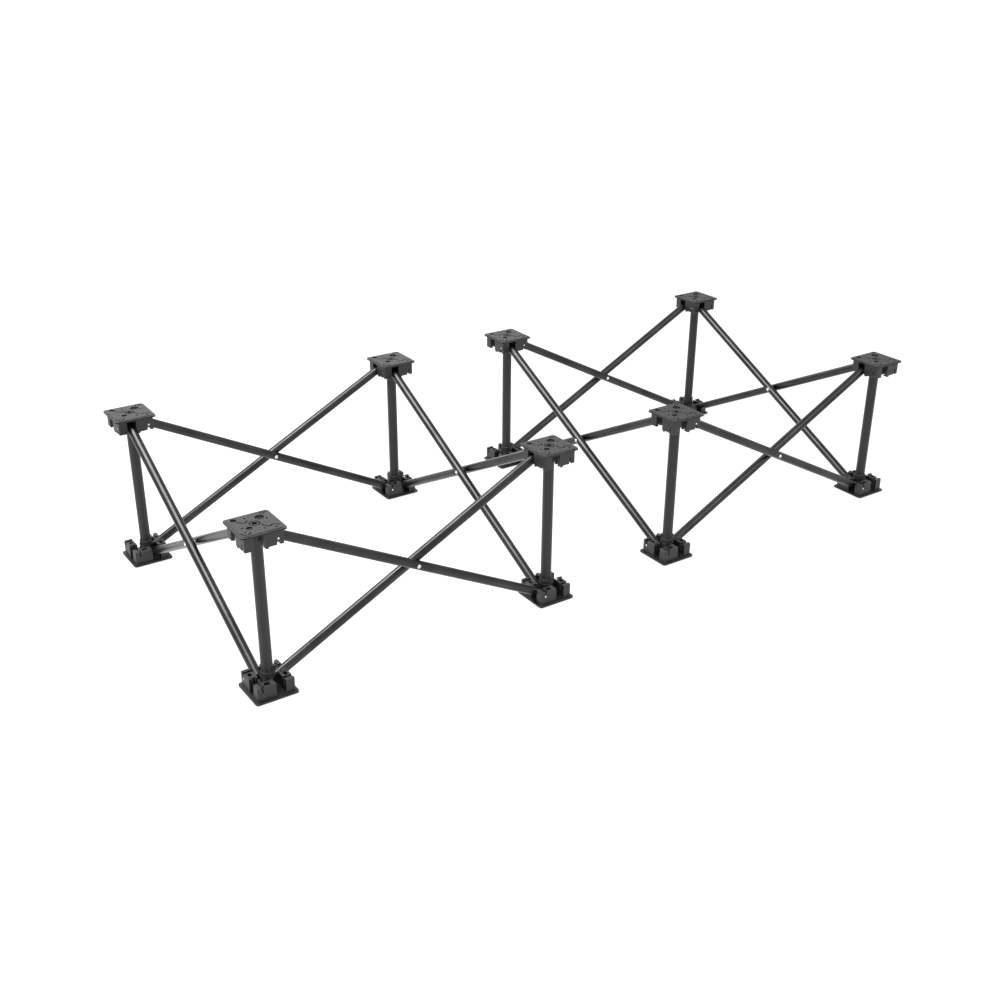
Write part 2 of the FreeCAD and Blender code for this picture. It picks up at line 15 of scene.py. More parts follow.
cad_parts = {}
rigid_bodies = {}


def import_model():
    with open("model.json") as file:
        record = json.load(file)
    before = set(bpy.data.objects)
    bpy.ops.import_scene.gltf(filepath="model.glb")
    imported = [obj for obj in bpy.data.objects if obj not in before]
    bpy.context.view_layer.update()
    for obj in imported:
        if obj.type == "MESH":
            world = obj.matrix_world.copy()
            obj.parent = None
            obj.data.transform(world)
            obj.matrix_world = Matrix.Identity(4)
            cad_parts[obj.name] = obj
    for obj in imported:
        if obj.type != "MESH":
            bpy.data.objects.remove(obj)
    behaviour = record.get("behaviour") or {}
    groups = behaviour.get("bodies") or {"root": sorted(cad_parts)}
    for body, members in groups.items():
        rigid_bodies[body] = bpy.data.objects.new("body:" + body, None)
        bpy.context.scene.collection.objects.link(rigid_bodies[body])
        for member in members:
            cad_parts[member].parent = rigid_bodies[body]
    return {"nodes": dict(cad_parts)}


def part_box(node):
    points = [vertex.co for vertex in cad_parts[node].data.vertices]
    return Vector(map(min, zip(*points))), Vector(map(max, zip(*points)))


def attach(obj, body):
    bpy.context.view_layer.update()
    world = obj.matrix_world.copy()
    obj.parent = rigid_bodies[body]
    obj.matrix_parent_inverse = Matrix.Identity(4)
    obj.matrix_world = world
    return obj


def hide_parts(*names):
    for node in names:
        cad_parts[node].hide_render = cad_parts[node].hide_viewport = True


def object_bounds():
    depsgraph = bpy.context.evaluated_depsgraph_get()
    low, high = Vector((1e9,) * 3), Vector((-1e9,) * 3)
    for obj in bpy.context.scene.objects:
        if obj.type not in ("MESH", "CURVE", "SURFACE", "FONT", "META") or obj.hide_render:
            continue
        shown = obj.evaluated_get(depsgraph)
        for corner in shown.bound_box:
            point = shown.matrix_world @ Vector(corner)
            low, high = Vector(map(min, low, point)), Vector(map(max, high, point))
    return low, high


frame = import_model()
cad_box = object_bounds()

# %% [markdown]
# ## Sizes
# Lengths are in metres, so a size in millimetres is multiplied by MM. The sizes
# that repeat all over the object are written once. Anything that says where a piece
# stands is read from the measured parts.

# %% Sizes and names
MM = 0.001
CORNERS = ["front_left", "front_right", "back_right", "back_left"]
SIDES = ["front", "right", "back", "left"]
NUMBERS = (1, 2)

FLANGE_STEP = 1.6 * MM
FLANGE_BACK = 5.6 * MM
PIN_REACH = 31 * MM
PIN_HEIGHT = 25 * MM
TUBE_SIDE = 11.5 * MM
TUBE_RADIUS = 11 * MM
TUBE_WALL = 1.5 * MM
TUBE_TAIL = 5 * MM
LEG_RADIUS = 13 * MM
LEG_WALL = 2 * MM


def middle(node):
    """The middle of a measured part, on the floor plan."""
    low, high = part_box(node)
    return Vector(((low[0] + high[0]) / 2, (low[1] + high[1]) / 2, 0))


deck_height = cad_box[1][2]
spacing = (middle("frame1_foot_hub_front_right") - middle("frame1_foot_hub_front_left")).x
tube_reach = spacing - 2 * PIN_REACH
tube_rise = deck_height - 2 * PIN_HEIGHT
tube_length = math.hypot(tube_reach, tube_rise)
tube_angle = math.atan2(tube_rise, tube_reach)
print("hub spacing %.0f mm, tubes %.1f mm between pins" % (spacing / MM, tube_length / MM))

# %% [markdown]
# ## The camera
# The picture is taken from the front left, a little above the frames, with a lens of
# medium length. The place is counted from the near corner's hub, and the direction is
# given as a compass angle, a dip and a very small roll.

# %% Camera
near_hub = middle("frame1_foot_hub_front_left")
camera_data = bpy.data.cameras.new("camera")
camera_data.sensor_width = 36
camera_data.lens = 45.05
camera = bpy.data.objects.new("camera", camera_data)
bpy.context.collection.objects.link(camera)
camera.location = near_hub + Vector((-0.8752, -2.1518, 1.5262))
turn, dip, roll = math.radians(34.476), math.radians(25.253), math.radians(0.411)
camera.rotation_euler = (
    Matrix.Rotation(-turn, 3, "Z")
    @ Matrix.Rotation(math.pi / 2 - dip, 3, "X")
    @ Matrix.Rotation(roll, 3, "Z")
).to_euler()
bpy.context.scene.camera = camera
print("camera at", [round(v, 3) for v in camera.location])

# %% [markdown]
# ## Helpers for colour and nodes
# Colours are written as on a paint card, in sRGB hex, and the renderer wants them
# linear. One small function adds a node: its settings are set by name, and each input
# takes a number, a colour or another node's output.


# %% Colour and node helpers
def linear(hex_colour):
    """An sRGB hex colour as linear red, green, blue and alpha."""
    values = [int(hex_colour[i : i + 2], 16) / 255 for i in (1, 3, 5)]
    return [v / 12.92 if v <= 0.04045 else ((v + 0.055) / 1.055) ** 2.4 for v in values] + [1.0]


def add_node(tree, kind, inputs=None, **settings):
    """A new node with its settings, and its inputs set or linked."""
    new = tree.nodes.new("ShaderNode" + kind)
    for name, value in settings.items():
        setattr(new, name, value)
    for name, value in (inputs or {}).items():
        if isinstance(value, bpy.types.NodeSocket):
            tree.links.new(value, new.inputs[name])
        else:
            new.inputs[name].default_value = value
    return new


def new_material(name):
    material = bpy.data.materials.new(name)
    material.use_nodes = True
    material.node_tree.nodes.clear()
    return material, material.node_tree


def colour_ramp(tree, factor, stops):
    """A ramp through (place, hex colour) stops."""
    ramp = add_node(tree, "ValToRGB", {"Fac": factor})
    while len(ramp.color_ramp.elements) < len(stops):
        ramp.color_ramp.elements.new(0.5)
    for element, (place, colour) in zip(ramp.color_ramp.elements, stops):
        element.position = place
        element.color = linear(colour)
    return ramp.outputs["Color"]


# %% [markdown]
# ## Glass-filled nylon
# The hubs, plugs and ferrules are injection moulded from nylon with glass fibre, dyed
# charcoal. The mould has an etched grain, so the surface is matt and a little uneven,
# and glass near the skin makes faint cloudy patches. The edges are painted a shade
# lighter: mostly a painted highlight on the rims, partly wear where corners get knocked.
# A Bevel node finds those edges: its rounded normal differs from the flat one only near
# an edge. The recesses in a hub's outer face are painted near black and made matt, a
# painted shade for the shadow that falls in them. They are found by their depth: how far
# a point lies below the deck or above the floor, whichever is nearer. The painted shade
# begins deeper than the step down to the flange, and ends before the flange's inner side.


# %% Nylon
def recess_shade_mask(tree, place):
    """One in the recesses of the hubs' outer faces, where shade is painted, and nought elsewhere.
    """
    height = add_node(tree, "SeparateXYZ", {"Vector": place}).outputs["Z"]
    below = add_node(tree, "Math", {0: deck_height, 1: height}, operation="SUBTRACT")
    depth = add_node(
        tree, "Math", {0: height, 1: below.outputs["Value"]}, operation="MINIMUM"
    ).outputs["Value"]
    enter = add_node(
        tree, "MapRange",
        {"Value": depth, "From Min": FLANGE_STEP + 0.15 * MM, "From Max": FLANGE_STEP + 0.7 * MM},
    )
    leave = add_node(
        tree, "MapRange",
        {"Value": depth, "From Min": FLANGE_BACK - 0.4 * MM, "From Max": FLANGE_BACK - 0.8 * MM},
    )
    return add_node(
        tree, "Math", {0: enter.outputs["Result"], 1: leave.outputs["Result"]},
        operation="MULTIPLY",
    ).outputs["Value"]


def make_nylon(name, dark, light, edge, smoothest=0.42, shade_recesses=False):
    material, tree = new_material(name)
    place = add_node(tree, "TexCoord").outputs["Object"]
    clouds = add_node(tree, "TexNoise", {"Vector": place, "Scale": 28.0, "Detail": 4.0})
    grain = add_node(tree, "TexNoise", {"Vector": place, "Scale": 900.0, "Detail": 2.0})
    colour = colour_ramp(tree, clouds.outputs["Fac"], [(0.3, dark), (0.72, light)])
    round_edge = add_node(tree, "Bevel", {"Radius": 1.1 * MM}, samples=4)
    flat = add_node(tree, "NewGeometry").outputs["Normal"]
    meet = add_node(
        tree, "VectorMath", {0: round_edge.outputs["Normal"], 1: flat}, operation="DOT_PRODUCT"
    )
    # Painted highlight with some wear: near an edge the colour is mixed towards the light edge
    # colour.
    edge_wear_and_highlight = add_node(
        tree, "MapRange",
        {"Value": meet.outputs["Value"], "From Min": 0.97, "From Max": 0.8, "To Max": 0.55},
    )
    tint = add_node(
        tree, "MixRGB", {"Fac": edge_wear_and_highlight.outputs["Result"], "Color1": colour, "Color2": linear(edge)}
    )
    rough = add_node(
        tree, "MapRange",
        {"Value": clouds.outputs["Fac"], "To Min": smoothest, "To Max": smoothest + 0.14},
    )
    colour, roughness = tint.outputs["Color"], rough.outputs["Result"]
    # Painted shade: the recesses are mixed to near black #050505 and made matt.
    if shade_recesses:
        recess_shade = recess_shade_mask(tree, place)
        recess_shaded = add_node(
            tree, "MixRGB", {"Fac": recess_shade, "Color1": colour, "Color2": linear("#050505")}
        )
        matt = add_node(tree, "MapRange", {"Value": recess_shade, "To Min": roughness, "To Max": 0.95})
        colour, roughness = recess_shaded.outputs["Color"], matt.outputs["Result"]
    bump = add_node(
        tree, "Bump", {"Height": grain.outputs["Fac"], "Strength": 0.25, "Distance": 0.15 * MM}
    )
    surface = add_node(
        tree, "BsdfPrincipled",
        {
            "Base Color": colour,
            "Roughness": roughness,
            "Normal": bump.outputs["Normal"],
            "IOR": 1.53,
        },
    )
    add_node(tree, "OutputMaterial", {"Surface": surface.outputs["BSDF"]})
    return material


# The light edge colours are painted highlights on the rims as well as wear; the hubs' recesses
# get painted shade.
hub_nylon = make_nylon(
    "glass_filled_nylon_charcoal", "#0d0e0f", "#161718", "#7c7e80", shade_recesses=True
)
plug_nylon = make_nylon(
    "glass_filled_nylon_black", "#0b0c0c", "#121313", "#1c1d1d", smoothest=0.62
)
print("made", hub_nylon.name, "and", plug_nylon.name)

# %% [markdown]
# ## Coated and anodised aluminium
# Both kinds of tube are drawn aluminium. The legs are powder coated in a very dark
# slate, which leaves a fine orange peel. The crossed tubes are anodised nearly black:
# the die has left long fine lines that run with the tube, so a highlight on them is a
# soft streak. The lines follow the tube, so a Mapping node turns the pattern to its
# direction and then stretches it.


# %% Tube finishes
def make_coating(name, dark, light):
    """Powder coat: a smooth, slightly pebbled paint."""
    material, tree = new_material(name)
    place = add_node(tree, "TexCoord").outputs["Object"]
    clouds = add_node(tree, "TexNoise", {"Vector": place, "Scale": 9.0, "Detail": 3.0})
    peel = add_node(tree, "TexNoise", {"Vector": place, "Scale": 420.0, "Detail": 1.0})
    colour = colour_ramp(tree, clouds.outputs["Fac"], [(0.3, dark), (0.7, light)])
    bump = add_node(
        tree, "Bump", {"Height": peel.outputs["Fac"], "Strength": 0.3, "Distance": 0.12 * MM}
    )
    surface = add_node(
        tree, "BsdfPrincipled",
        {"Base Color": colour, "Roughness": 0.42, "IOR": 1.46, "Normal": bump.outputs["Normal"]},
    )
    add_node(tree, "OutputMaterial", {"Surface": surface.outputs["BSDF"]})
    return material


def make_anodised(name, direction, dark, light):
    """Dark anodising over drawn lines that run along direction."""
    material, tree = new_material(name)
    place = add_node(tree, "TexCoord").outputs["Object"]
    turned = Vector((0, 0, 1)).rotation_difference(direction).to_euler()
    along = add_node(
        tree, "Mapping", {"Vector": place, "Rotation": turned}, vector_type="TEXTURE"
    )
    stretch = add_node(
        tree, "Mapping", {"Vector": along.outputs["Vector"], "Scale": (1.0, 1.0, 0.012)}
    )
    lines = add_node(
        tree, "TexNoise", {"Vector": stretch.outputs["Vector"], "Scale": 700.0, "Detail": 3.0}
    )
    clouds = add_node(tree, "TexNoise", {"Vector": place, "Scale": 14.0, "Detail": 3.0})
    both = add_node(
        tree, "Math", {0: lines.outputs["Fac"], 1: clouds.outputs["Fac"]}, operation="MULTIPLY"
    )
    colour = colour_ramp(tree, both.outputs["Value"], [(0.12, dark), (0.42, light)])
    rough = add_node(
        tree, "MapRange", {"Value": lines.outputs["Fac"], "To Min": 0.21, "To Max": 0.34}
    )
    bump = add_node(
        tree, "Bump", {"Height": lines.outputs["Fac"], "Strength": 0.2, "Distance": 0.05 * MM}
    )
    surface = add_node(
        tree, "BsdfPrincipled",
        {
            "Base Color": colour,
            "Metallic": 1.0,
            "Roughness": rough.outputs["Result"],
            "Normal": bump.outputs["Normal"],
        },
    )
    add_node(tree, "OutputMaterial", {"Surface": surface.outputs["BSDF"]})
    return material


leg_coat = make_coating("powder_coated_aluminium_slate", "#0e1011", "#14171a")

# %% [markdown]
# ## Bright zinc on steel
# The pins and rivets are steel with a thin zinc plate. It is the only bright metal on
# the object. The tumbling that smooths the pins leaves it satin, and it dulls in small
# patches.


# %% Zinc plate
def make_zinc(name):
    material, tree = new_material(name)
    place = add_node(tree, "TexCoord").outputs["Object"]
    spots = add_node(tree, "TexNoise", {"Vector": place, "Scale": 350.0, "Detail": 3.0})
    colour = colour_ramp(tree, spots.outputs["Fac"], [(0.35, "#c9cbc9"), (0.65, "#eceeec")])
    rough = add_node(
        tree, "MapRange", {"Value": spots.outputs["Fac"], "To Min": 0.18, "To Max": 0.34}
    )
    surface = add_node(
        tree, "BsdfPrincipled",
        {"Base Color": colour, "Metallic": 1.0, "Roughness": rough.outputs["Result"]},
    )
    add_node(tree, "OutputMaterial", {"Surface": surface.outputs["BSDF"]})
    return material


zinc = make_zinc("zinc_plated_steel")
print("made", leg_coat.name, "and", zinc.name)

# %% [markdown]
# ## Helpers for shaping
# Nearly everything but the hub is round, so it can be turned as on a lathe: a chain of
# points is extruded and then spun about the upright axis. Each shape is made once, in
# the middle of the floor, and its copies are carried to their places.


# %% Turning and copying
SAME_PLACE = 0.002 * MM
DRILL_LENGTH = 60 * MM


def select_only(piece):
    bpy.ops.object.select_all(action="DESELECT")
    piece.select_set(True)
    bpy.context.view_layer.objects.active = piece


def clean_mesh():
    """Merges doubled points and turns every face outwards, in edit mode."""
    bpy.ops.mesh.select_all(action="SELECT")
    bpy.ops.mesh.remove_doubles(threshold=SAME_PLACE)
    bpy.ops.mesh.normals_make_consistent(inside=False)


def turn_on_lathe(name, profile, steps=48):
    """A closed turned shape from (radius, height) points in metres."""
    bpy.ops.object.select_all(action="DESELECT")
    bpy.ops.mesh.primitive_plane_add(size=1 * MM, location=(0, 0, 0))
    piece = bpy.context.object
    piece.name = name
    bpy.ops.object.mode_set(mode="EDIT")
    bpy.ops.mesh.select_all(action="SELECT")
    bpy.ops.mesh.merge(type="CENTER")
    bpy.ops.transform.translate(value=(profile[0][0], 0, profile[0][1]))
    for a, b in zip(profile, profile[1:]):
        step = (b[0] - a[0], 0, b[1] - a[1])
        bpy.ops.mesh.extrude_region_move(TRANSFORM_OT_translate={"value": step})
    bpy.ops.mesh.select_all(action="SELECT")
    bpy.ops.mesh.spin(steps=steps, angle=2 * math.pi, center=(0, 0, 0), axis=(0, 0, 1))
    clean_mesh()
    bpy.ops.object.mode_set(mode="OBJECT")
    return piece


def smooth(piece, degrees=35):
    select_only(piece)
    bpy.ops.object.shade_smooth_by_angle(angle=math.radians(degrees))


def copy_to(source, name, matrix, body, material):
    """Another one of source, with its own mesh, carried to its place and riding on body."""
    select_only(source)
    bpy.ops.object.duplicate(linked=False)
    piece = bpy.context.object
    piece.name = name
    piece.matrix_world = matrix
    bpy.ops.object.transform_apply(location=True, rotation=True, scale=True)
    piece.data.name = name
    piece.data.materials.clear()
    piece.data.materials.append(material)
    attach(piece, body)
    return piece


def drill(piece, radius, height):
    """A round hole from front to back through piece, at a height on its axis."""
    bpy.ops.object.select_all(action="DESELECT")
    bpy.ops.mesh.primitive_cylinder_add(
        vertices=24, radius=radius, depth=DRILL_LENGTH,
        location=(0, 0, height), rotation=(math.pi / 2, 0, 0),
    )
    cutter = bpy.context.object
    select_only(piece)
    bpy.ops.object.modifier_add(type="BOOLEAN")
    piece.modifiers[-1].operation = "DIFFERENCE"
    piece.modifiers[-1].object = cutter
    piece.modifiers[-1].solver = "EXACT"
    bpy.ops.object.modifier_apply(modifier=piece.modifiers[-1].name)
    bpy.data.objects.remove(cutter, do_unlink=True)


# %% [markdown]
# ## The hub
# The hub is one moulding: a square plate with four blocks that stand in a pinwheel
# round a boss. The measured hub has that exact shape, but every edge of it is sharp.
# In a real mould each edge is a little rounded, so that the plastic flows and comes
# out clean, and it is this rounding that catches the light. It could be modelled
# again from a cube, but a copy of the measured hub is truer. Its triangles are joined
# back into whole faces, a Bevel modifier rounds the edges by half a millimetre, and
# weighted normals keep the wide faces looking flat.

# %% One softened hub
HUB_EDGE = 0.5 * MM
select_only(frame["nodes"]["frame1_foot_hub_front_left"])
bpy.ops.object.duplicate(linked=False)
hub = bpy.context.object
hub.name = "hub_pattern"
bpy.ops.object.parent_clear(type="CLEAR_KEEP_TRANSFORM")
bpy.ops.object.mode_set(mode="EDIT")
bpy.ops.mesh.select_all(action="SELECT")
bpy.ops.mesh.remove_doubles(threshold=SAME_PLACE)
bpy.ops.mesh.dissolve_limited(angle_limit=math.radians(0.3))
bpy.ops.mesh.select_all(action="SELECT")
bpy.ops.transform.translate(value=-near_hub)
bpy.ops.object.mode_set(mode="OBJECT")
bpy.ops.object.modifier_add(type="BEVEL")
rounding = hub.modifiers[-1]
rounding.width = HUB_EDGE
rounding.segments = 2
rounding.limit_method = "ANGLE"
rounding.angle_limit = math.radians(32)
rounding.miter_outer = "MITER_ARC"
bpy.ops.object.modifier_apply(modifier=rounding.name)
smooth(hub, 30)
bpy.ops.object.modifier_add(type="WEIGHTED_NORMAL")
hub.modifiers[-1].keep_sharp = True
bpy.ops.object.modifier_apply(modifier=hub.modifiers[-1].name)
print("softened hub:", len(hub.data.polygons), "faces")

# %% [markdown]
# All sixteen hubs are the same moulding. The four at the top of a frame are turned
# over about the long direction, so that the flat plate is up under the deck. Each copy
# stands for its measured hub, which is then hidden.

# %% Sixteen hubs
for n in NUMBERS:
    for corner in CORNERS:
        for level in ("foot", "top"):
            node = f"frame{n}_{level}_hub_{corner}"
            place = Matrix.Translation(middle(node))
            if level == "top":
                place = Matrix.Translation((0, 0, deck_height)) @ place
                place = place @ Matrix.Rotation(math.pi, 4, "X")
            piece = copy_to(
                hub, f"{node}_moulding", place, f"frame{n}_{level}_{corner}", hub_nylon
            )
            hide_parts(node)
bpy.data.objects.remove(hub, do_unlink=True)
print("hubs in place")

# %% [markdown]
# ## Legs and their ferrules
# A leg is a plain drawn tube. Its top end goes down into the socket of the top hub,
# and its lower end sits in a moulded ferrule: a collar round the tube, and below it a
# spigot that drops into the foot hub. Both are round, so each is turned on the lathe
# from half of its section. The saw leaves the tube a small chamfer at each end.


# %% Tube walls
def wall_section(outer, inner, heights):
    """Up the outside of a tube through the heights, and down the inside again."""
    low, high = heights[0], heights[-1]
    chamfer = 0.4 * MM
    outside = [(outer - chamfer, low), (outer, low + chamfer)]
    outside += [(outer, z) for z in heights[1:-1]]
    outside += [(outer, high - chamfer), (outer - chamfer, high)]
    inside = [(inner, z) for z in reversed(heights)]
    return outside + inside + outside[:1]


SOCKET_FLOOR = 8 * MM
COLLAR_BASE = 39.4 * MM
COLLAR_TOP = 50 * MM
COLLAR_RADIUS = 15.2 * MM
SPIGOT_END = 12 * MM
leg_foot = COLLAR_BASE + 2 * MM
leg_head = deck_height - SOCKET_FLOOR
leg = turn_on_lathe(
    "leg_pattern", wall_section(LEG_RADIUS, LEG_RADIUS - LEG_WALL, [leg_foot, leg_head]), 64
)
smooth(leg)
print("leg tube: %.1f mm long" % ((leg_head - leg_foot) / MM))

# %% Ferrule
spigot = LEG_RADIUS - 0.05 * MM
edge = 0.5 * MM
ferrule = turn_on_lathe(
    "ferrule_pattern",
    [
        (0, SPIGOT_END),
        (spigot - 2 * MM, SPIGOT_END),
        (spigot, SPIGOT_END + 3 * MM),
        (spigot, COLLAR_BASE),
        (COLLAR_RADIUS - edge, COLLAR_BASE),
        (COLLAR_RADIUS, COLLAR_BASE + edge),
        (COLLAR_RADIUS, COLLAR_TOP - 1.5 * MM),
        (COLLAR_RADIUS - edge, COLLAR_TOP - 0.9 * MM),
        (LEG_RADIUS + 0.7 * MM, COLLAR_TOP),
        (LEG_RADIUS, COLLAR_TOP),
        (LEG_RADIUS, leg_foot),
        (0, leg_foot),
    ],
    64,
)
smooth(ferrule)
for n in NUMBERS:
    for corner in CORNERS:
        node = f"frame{n}_leg_{corner}"
        place = Matrix.Translation(middle(node))
        body = f"frame{n}_top_{corner}"
        tube = copy_to(leg, f"{node}_tube", place, body, leg_coat)
        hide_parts(node)
        copy_to(ferrule, f"{node}_ferrule", place, body, plug_nylon)
for pattern in (leg, ferrule):
    bpy.data.objects.remove(pattern, do_unlink=True)
print("legs and ferrules in place")

# %% [markdown]
# ## Hinge pins
# Each tube end turns on a short steel pin that has been snapped into a hub. The pin
# lies level, so it is turned upright on the lathe, laid along the hub's depth, and
# carried to its seat. A hub has two pins, and which of its four faces they lie in
# depends on the corner. Faces are counted in quarter turns from the left one.

# %% Pins
PIN_RADIUS = 2.5 * MM
PIN_START = -43.1 * MM
PIN_END = 9.5 * MM
FOOT_FACES = {
    "front_left": (2, 3),
    "front_right": (0, 3),
    "back_right": (0, 1),
    "back_left": (1, 2),
}
TOP_FACES = {
    "front_left": (2, 1),
    "front_right": (0, 1),
    "back_right": (0, 3),
    "back_left": (3, 2),
}
edge = 0.4 * MM
pin = turn_on_lathe(
    "pin_pattern",
    [
        (0, PIN_START),
        (PIN_RADIUS - edge, PIN_START),
        (PIN_RADIUS, PIN_START + edge),
        (PIN_RADIUS, PIN_END - edge),
        (PIN_RADIUS - edge, PIN_END),
        (0, PIN_END),
    ],
    32,
)
smooth(pin)
laid_back = Matrix.Rotation(-math.pi / 2, 4, "X")
seat = Matrix.Translation((-PIN_REACH, 0, PIN_HEIGHT)) @ laid_back
for n in NUMBERS:
    for level, faces in (("foot", FOOT_FACES), ("top", TOP_FACES)):
        for corner in CORNERS:
            place = Matrix.Translation(middle(f"frame{n}_{level}_hub_{corner}"))
            if level == "top":
                place = Matrix.Translation((0, 0, deck_height)) @ place
                place = place @ Matrix.Rotation(math.pi, 4, "X")
            node = f"frame{n}_{level}_pins_{corner}"
            for index, quarter in enumerate(faces[corner]):
                turned = place @ Matrix.Rotation(quarter * math.pi / 2, 4, "Z") @ seat
                piece = copy_to(
                    pin, f"{node}_{index + 1}", turned, f"frame{n}_{level}_{corner}", zinc
                )
                if index == 0:
                    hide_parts(node)
bpy.data.objects.remove(pin, do_unlink=True)
print("pins in place")

# %% [markdown]
# ## Crossed tubes
# On each side of a frame one tube rises from a foot hub to the next top hub, and one
# falls beside it. Both are drilled at the ends for the pins and in the middle for the
# rivet. The tube stands on the lathe with one pin hole at the floor and the other at
# the top. The long wall gets a ring of points on each side of a hole: then the cut
# changes only the short band around it, and the rest keeps its smooth shading.

# %% Two drilled tubes
BAND = 6 * MM
PIN_HOLE = 2.55 * MM
RIVET_RADIUS = 3 * MM
RIVET_HOLE = 3.06 * MM
halfway = tube_length / 2
heights = [
    -TUBE_TAIL, BAND, halfway - BAND, halfway + BAND, tube_length - BAND, tube_length + TUBE_TAIL
]
tubes = {}
for kind, middle_hole in (("rise", RIVET_RADIUS), ("fall", RIVET_HOLE)):
    section = wall_section(TUBE_RADIUS, TUBE_RADIUS - TUBE_WALL, heights)
    tubes[kind] = turn_on_lathe(f"{kind}_pattern", section, 64)
    for height, radius in ((0, PIN_HOLE), (halfway, middle_hole), (tube_length, PIN_HOLE)):
        drill(tubes[kind], radius, height)
    smooth(tubes[kind])
    print(kind, "tube:", len(tubes[kind].data.polygons), "faces")

# %% [markdown]
# ## Rounded ends
# An open tube end would scrape in the hub, so each one has a black moulded plug. Its
# nose is a shallow dome, a slice off a ball. The same slice, small, makes the heads of
# the rivet. A short function gives the points of such a dome: from the height and the
# rim follow the ball's radius and where its middle lies.


# %% Domes
def dome(rim, rise, base, steps=8):
    """From the pole to the rim of a dome that stands below the height base."""
    ball = (rim * rim + rise * rise) / (2 * rise)
    widest = math.asin(rim / ball)
    arc = [widest * i / steps for i in range(steps + 1)]
    return [(ball * math.sin(a), base - rise + ball * (1 - math.cos(a))) for a in arc]


PLUG_RADIUS = 9.45 * MM
PLUG_TOP = 14 * MM
NOSE = 6 * MM
plug = turn_on_lathe(
    "plug_pattern",
    dome(TUBE_RADIUS - 0.4 * MM, NOSE, -TUBE_TAIL)
    + [(PLUG_RADIUS, -TUBE_TAIL), (PLUG_RADIUS, PLUG_TOP), (0, PLUG_TOP)],
)
drill(plug, PIN_HOLE, 0)
smooth(plug)
print("plug:", len(plug.data.polygons), "faces")

# %% [markdown]
# ## The rivet at the crossing
# A hollow-ended rivet joins the two tubes where they cross. Its heads are low domes
# with a small round dimple, which the setting tool leaves. The rivet runs from front
# to back through both tubes, so like the pins it is turned upright and then laid down.

# %% Rivet
HEAD_RIM = 4.6 * MM
HEAD_RISE = 2 * MM
DIMPLE = 1.5 * MM
near_head = TUBE_RADIUS
far_head = -2 * TUBE_SIDE - TUBE_RADIUS - 0.3 * MM


def rivet_head():
    """Half the section of a head whose rim lies at height 0, with its dimple."""
    cap = [(radius, height) for radius, height in dome(HEAD_RIM, HEAD_RISE, 0) if radius > DIMPLE]
    lip = cap[0][1]
    return [(0, lip + 1.1 * MM), (DIMPLE * 0.7, lip + 1.0 * MM), (DIMPLE, lip + 0.1 * MM)] + cap


under = [(radius, far_head + height) for radius, height in rivet_head()]
over = [(radius, near_head - height) for radius, height in reversed(rivet_head())]
shank = [(RIVET_RADIUS, far_head), (RIVET_RADIUS, near_head)]
rivet = turn_on_lathe("rivet_pattern", under + shank + over, 40)
smooth(rivet, 40)
print("rivet: %.1f mm over the heads" % ((near_head - far_head + 2 * HEAD_RISE) / MM))

# %% [markdown]
# ## Putting the sides together
# Each side of a frame is the front side turned by a quarter. A tube is tilted so that
# its own upright axis points from pin to pin, and its lower pin hole is set on the
# pin. The drawn lines in the anodising follow the tube, and there are only four
# directions in all, so four finishes serve the sixteen tubes.

# %% Four directions of anodising
finishes = {}
for name, along in (
    ("x_up", (tube_reach, 0, tube_rise)),
    ("x_down", (tube_reach, 0, -tube_rise)),
    ("y_up", (0, tube_reach, tube_rise)),
    ("y_down", (0, tube_reach, -tube_rise)),
):
    direction = Vector(along).normalized()
    finishes[name] = make_anodised(
        f"anodised_aluminium_graphite_{name}", direction, "#303031", "#464647"
    )
print("made", len(finishes), "anodised finishes")

# %% Sixteen crossed tubes, their plugs and rivets
LINES = {
    ("front", "rise"): "x_up",
    ("front", "fall"): "x_down",
    ("right", "rise"): "y_up",
    ("right", "fall"): "y_down",
    ("back", "rise"): "x_down",
    ("back", "fall"): "x_up",
    ("left", "rise"): "y_down",
    ("left", "fall"): "y_up",
}
other_end = Matrix.Translation((0, 0, tube_length)) @ Matrix.Rotation(math.pi, 4, "Y")
for n in NUMBERS:
    corners = [middle(f"frame{n}_foot_hub_{corner}") for corner in CORNERS]
    centre = sum(corners, Vector()) / len(corners)
    for quarter, side in enumerate(SIDES):
        for kind in ("rise", "fall"):
            node = f"frame{n}_{kind}_tube_{side}"
            body = f"frame{n}_{kind}_{side}"
            up = kind == "rise"
            pin_place = Vector((
                -spacing / 2 + PIN_REACH,
                -spacing / 2 + (TUBE_SIDE if up else -TUBE_SIDE),
                PIN_HEIGHT if up else deck_height - PIN_HEIGHT,
            ))
            tilt = math.pi / 2 - (tube_angle if up else -tube_angle)
            place = (
                Matrix.Translation(centre)
                @ Matrix.Rotation(quarter * math.pi / 2, 4, "Z")
                @ Matrix.Translation(pin_place)
                @ Matrix.Rotation(tilt, 4, "Y")
            )
            finish = finishes[LINES[side, kind]]
            piece = copy_to(tubes[kind], f"{node}_tube", place, body, finish)
            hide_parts(node)
            copy_to(plug, f"{node}_plug_1", place, body, plug_nylon)
            copy_to(plug, f"{node}_plug_2", place @ other_end, body, plug_nylon)
            if up:
                crossing = place @ Matrix.Translation((0, 0, halfway)) @ laid_back
                copy_to(rivet, f"frame{n}_rivet_{side}", crossing, body, zinc)
for pattern in (*tubes.values(), plug, rivet):
    bpy.data.objects.remove(pattern, do_unlink=True)
print("crossed tubes in place")

# %% [markdown]
# ## Does everything sit where it was measured?
# A new piece that stands for a measured part has to fill the same box. The largest
# difference over all of them shows at once if one is turned the wrong way.

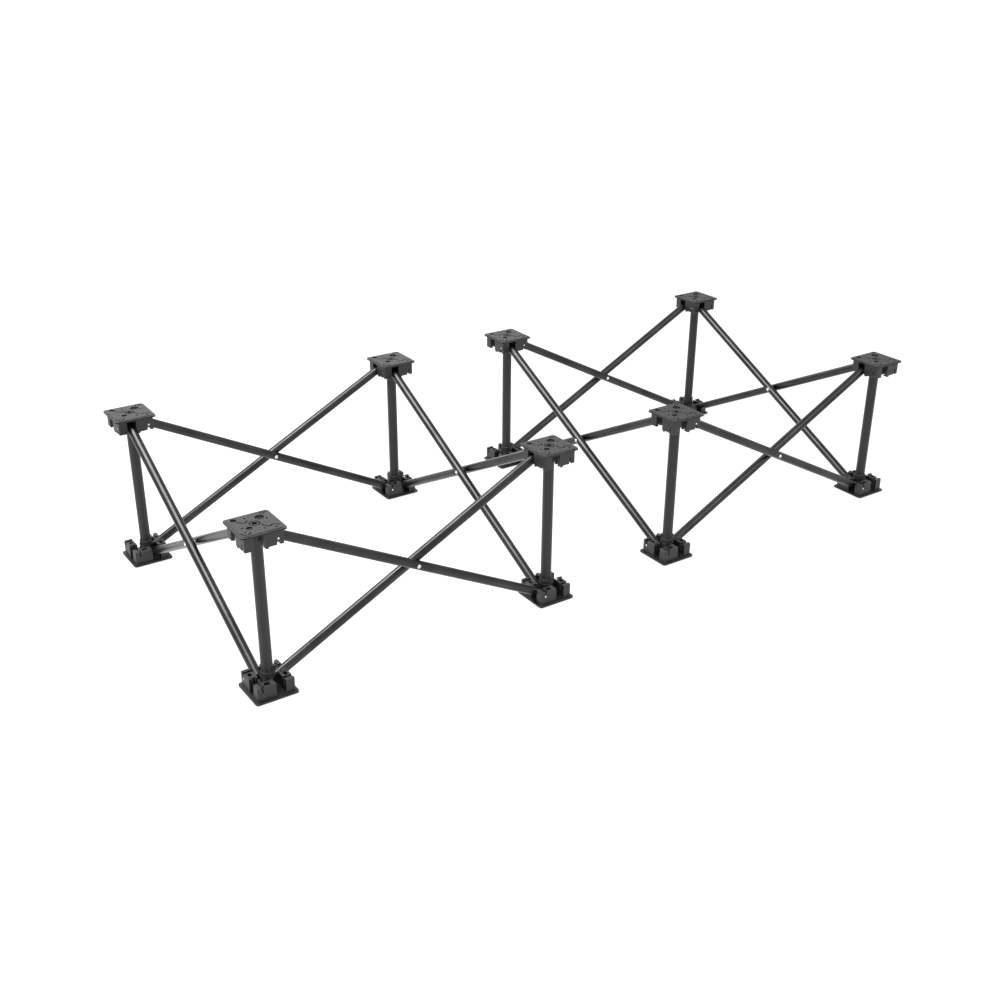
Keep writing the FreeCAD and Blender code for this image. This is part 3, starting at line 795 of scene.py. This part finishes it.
# %% Compare boxes
ENDINGS = {"_hub_": "_moulding", "_pins_": "_1"}
worst = 0
for node in frame["nodes"]:
    low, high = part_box(node)
    ending = next((e for kind, e in ENDINGS.items() if kind in node), "_tube")
    piece = bpy.data.objects[node + ending]
    points = [piece.matrix_world @ v.co for v in piece.data.vertices]
    for axis in range(3):
        values = [p[axis] for p in points]
        outside = max(low[axis] - min(values), max(values) - high[axis])
        worst = max(worst, outside)
print("no piece leaves its measured box by more than %.3f mm" % (worst / MM))

# %% [markdown]
# ## Floor and light
# The frames stand in a white studio. The floor is wide enough to fill the view, and it
# glows a little, as a lit acrylic table does, so that it stays white while soft
# shadows still tie the hubs to it. The walls are white too. The lamps are large and
# soft. The strongest hangs overhead, a little to the left: it draws the light streak
# along the tubes that run from front to back. A weaker one lights the right frame from
# the front, a long one behind gives the hubs' upper faces their sheen, and a low one
# fills their left sides.

# %% Floor
bpy.ops.object.select_all(action="DESELECT")
bpy.ops.mesh.primitive_plane_add(size=80, location=(0, 0, 0))
floor = bpy.context.object
floor.name = "studio_floor"
material, tree = new_material("lit_white_acrylic")
place = add_node(tree, "TexCoord").outputs["Object"]
haze = add_node(tree, "TexNoise", {"Vector": place, "Scale": 0.6, "Detail": 2.0})
white = colour_ramp(tree, haze.outputs["Fac"], [(0.3, "#8c8c8c"), (0.7, "#929292")])
surface = add_node(
    tree, "BsdfPrincipled",
    {
        "Base Color": white,
        "Roughness": 0.6,
        "Emission Color": linear("#ffffff"),
        "Emission Strength": 0.74,
    },
)
add_node(tree, "OutputMaterial", {"Surface": surface.outputs["BSDF"]})
floor.data.materials.append(material)

# %% Lamps
world = bpy.data.worlds.new("studio")
world.use_nodes = True
world.node_tree.nodes["Background"].inputs["Color"].default_value = linear("#ffffff")
world.node_tree.nodes["Background"].inputs["Strength"].default_value = 1.0
bpy.context.scene.world = world
bpy.context.scene.view_settings.view_transform = "Standard"


def softbox(name, place, aim, width, depth, power):
    lamp = bpy.data.lights.new(name, "AREA")
    lamp.shape = "RECTANGLE"
    lamp.size, lamp.size_y, lamp.energy = width, depth, power
    box = bpy.data.objects.new(name, lamp)
    bpy.context.collection.objects.link(box)
    box.location = place
    box.rotation_euler = (Vector(aim) - Vector(place)).to_track_quat("-Z", "Y").to_euler()


softbox("overhead", (-1.5, 0.5, 2.8), (-0.3, 0.1, 0.2), 1.4, 2.0, 110)
softbox("front_right", (0.9, -2.6, 2.8), (0.4, -0.2, 0.2), 1.6, 1.6, 24)
softbox("behind", (0.6, 3.4, 2.0), (-0.3, 0, 0.3), 3.6, 1.2, 20)
softbox("left_side", (-3.2, -1.0, 1.8), (-0.4, 0, 0.2), 1.6, 1.6, 14)
